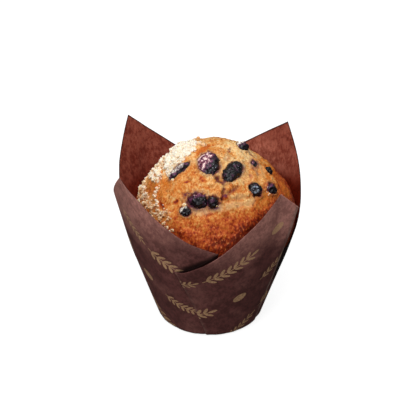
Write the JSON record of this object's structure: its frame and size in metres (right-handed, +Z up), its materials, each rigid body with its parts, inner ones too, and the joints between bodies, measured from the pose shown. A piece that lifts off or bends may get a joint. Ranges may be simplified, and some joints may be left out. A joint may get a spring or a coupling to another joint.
{
  "type": "muffin",
  "caption": "Domed berry muffin with streusel on one side, standing in a folded tulip paper case with four pointed petals.",
  "frame": {"origin": "centre of the case's flat underside, where it meets the table", "axes": "+Z up, -Y the front, where two petals cross lowest, +X to the right seen from the front"},
  "size_m": [0.0874, 0.0858, 0.0908],
  "materials": {
    "paper": "matt",
    "cake": "porous baked crust",
    "berry": "moist baked skin",
    "streusel": "sugary crumb"
  },
  "bodies": {
    "root": {"paper_case": "paper", "muffin": "cake", "berry_01": "berry", "berry_02": "berry", "berry_03": "berry", "berry_04": "berry", "berry_05": "berry", "berry_06": "berry", "berry_07": "berry", "berry_08": "berry", "berry_09": "berry", "berry_10": "berry", "berry_11": "berry"}
  },
  "joints": []
}
